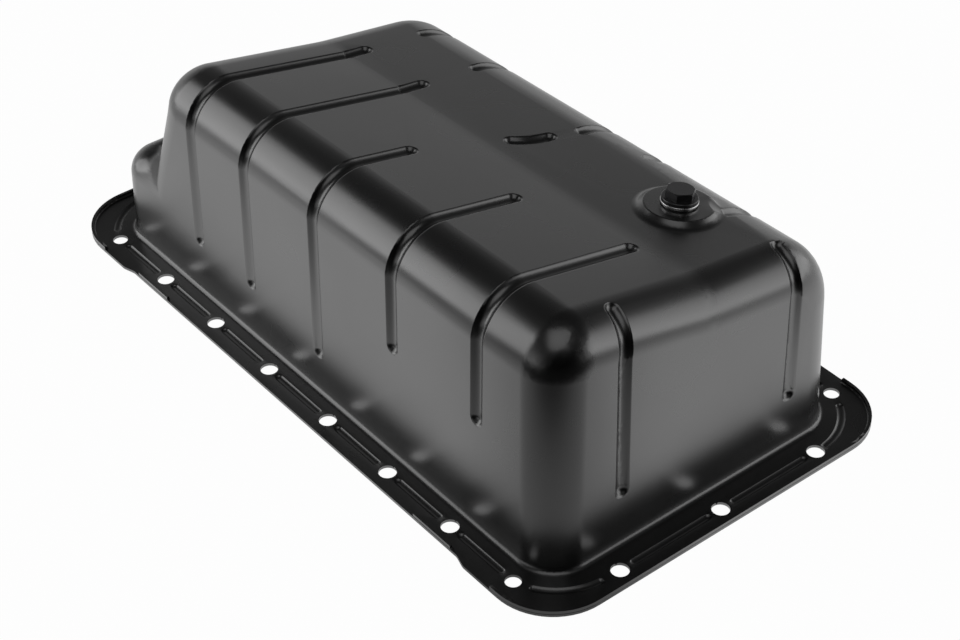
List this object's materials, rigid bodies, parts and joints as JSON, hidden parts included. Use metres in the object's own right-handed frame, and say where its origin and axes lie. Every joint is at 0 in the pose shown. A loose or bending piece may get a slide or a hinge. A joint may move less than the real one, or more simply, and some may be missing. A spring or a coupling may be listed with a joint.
{
  "type": "engine oil pan",
  "caption": "Deep stamped steel engine oil pan with a drilled gasket flange, stiffening grooves and a threaded drain plug.",
  "frame": {"origin": "centre of the flange's outline, at the height of the lowest gasket beads", "axes": "+X along the pan towards the drain end, +Y across the pan towards the drain's side, +Z away from the crankcase, out of the pan's deep face"},
  "size_m": [0.409, 0.2296, 0.1342],
  "materials": {
    "pan_shell": "satin black coating on pressed steel sheet",
    "drain_boss": "satin black coating",
    "drain_washer": "plain turned",
    "drain_plug": "dark plated steel"
  },
  "bodies": {
    "pan": {"pan_shell": "pan_shell", "drain_boss": "drain_boss", "drain_washer": "drain_washer"},
    "plug": {"drain_plug": "drain_plug"}
  },
  "joints": [
    {"name": "plug_turn", "type": "hinge", "parent": "pan", "child": "plug", "pos_m": [0.1145, 0.043, 0.11289], "axis": [-0.0367, 0.1288, 0.991], "range_deg": [0, 360]}
  ]
}
